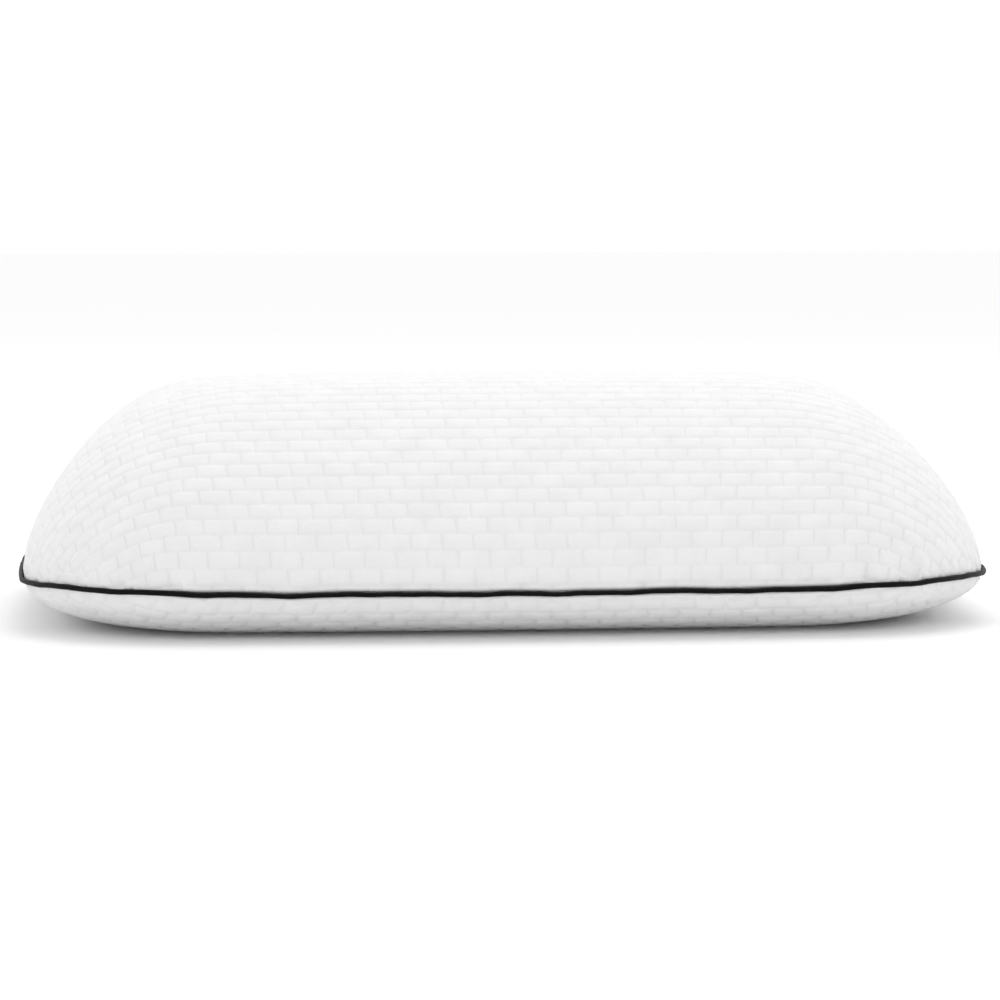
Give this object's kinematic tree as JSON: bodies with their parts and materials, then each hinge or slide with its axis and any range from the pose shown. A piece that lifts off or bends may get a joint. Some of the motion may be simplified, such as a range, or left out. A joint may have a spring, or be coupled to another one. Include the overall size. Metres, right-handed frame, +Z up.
{
  "type": "bed pillow",
  "caption": "Moulded foam bed pillow with a domed top, in a white knitted cover with raised brick relief, one black piping and a zip along the back.",
  "frame": {"origin": "centre of the resting face under the pillow, in the middle of its overall length and width", "axes": "+X along the length, +Y across the width towards the zipped side, +Z up"},
  "size_m": [0.606, 0.406, 0.147],
  "materials": {
    "foam": "matte",
    "liner_jersey": "matte",
    "cover_knit": "matte",
    "piping_black": "satin",
    "filler_cotton": "matte",
    "thread": "satin",
    "zip_tape": "matte",
    "zip_coil": "satin",
    "zip_metal": "satin",
    "slider_enamel": "gloss",
    "label_satin": "satin"
  },
  "bodies": {
    "pillow": {"foam_core": "foam", "liner_top": "liner_jersey", "liner_bottom": "liner_jersey", "liner_seam_thread": "thread", "cover_top_panel": "cover_knit", "cover_bottom_panel": "cover_knit", "cover_seam_thread": "thread", "piping_sleeve": "piping_black", "piping_filler_cord": "filler_cotton", "zip_tape_upper": "zip_tape", "zip_tape_lower": "zip_tape", "zip_coil_upper": "zip_coil", "zip_coil_lower": "zip_coil", "zip_top_stops": "zip_metal", "zip_bottom_stop": "zip_metal", "zip_seam_stitch": "thread", "zip_top_stitch": "thread", "zip_bartacks": "thread", "care_label": "label_satin"},
    "zip_slider": {"zip_slider_body": "slider_enamel", "zip_slider_bridge": "slider_enamel"},
    "zip_pull": {"zip_pull_tab": "slider_enamel"}
  },
  "joints": [
    {"name": "slider_travel", "type": "slide", "parent": "pillow", "child": "zip_slider", "axis": [-1, 0, 0], "range_m": [0, 0.3059]},
    {"name": "pull_flip", "type": "hinge", "parent": "zip_slider", "child": "zip_pull", "pos_m": [0.15294, 0.19905, 0.02268], "axis": [0, -0.4918, -0.8707], "range_deg": [0, 180]}
  ]
}
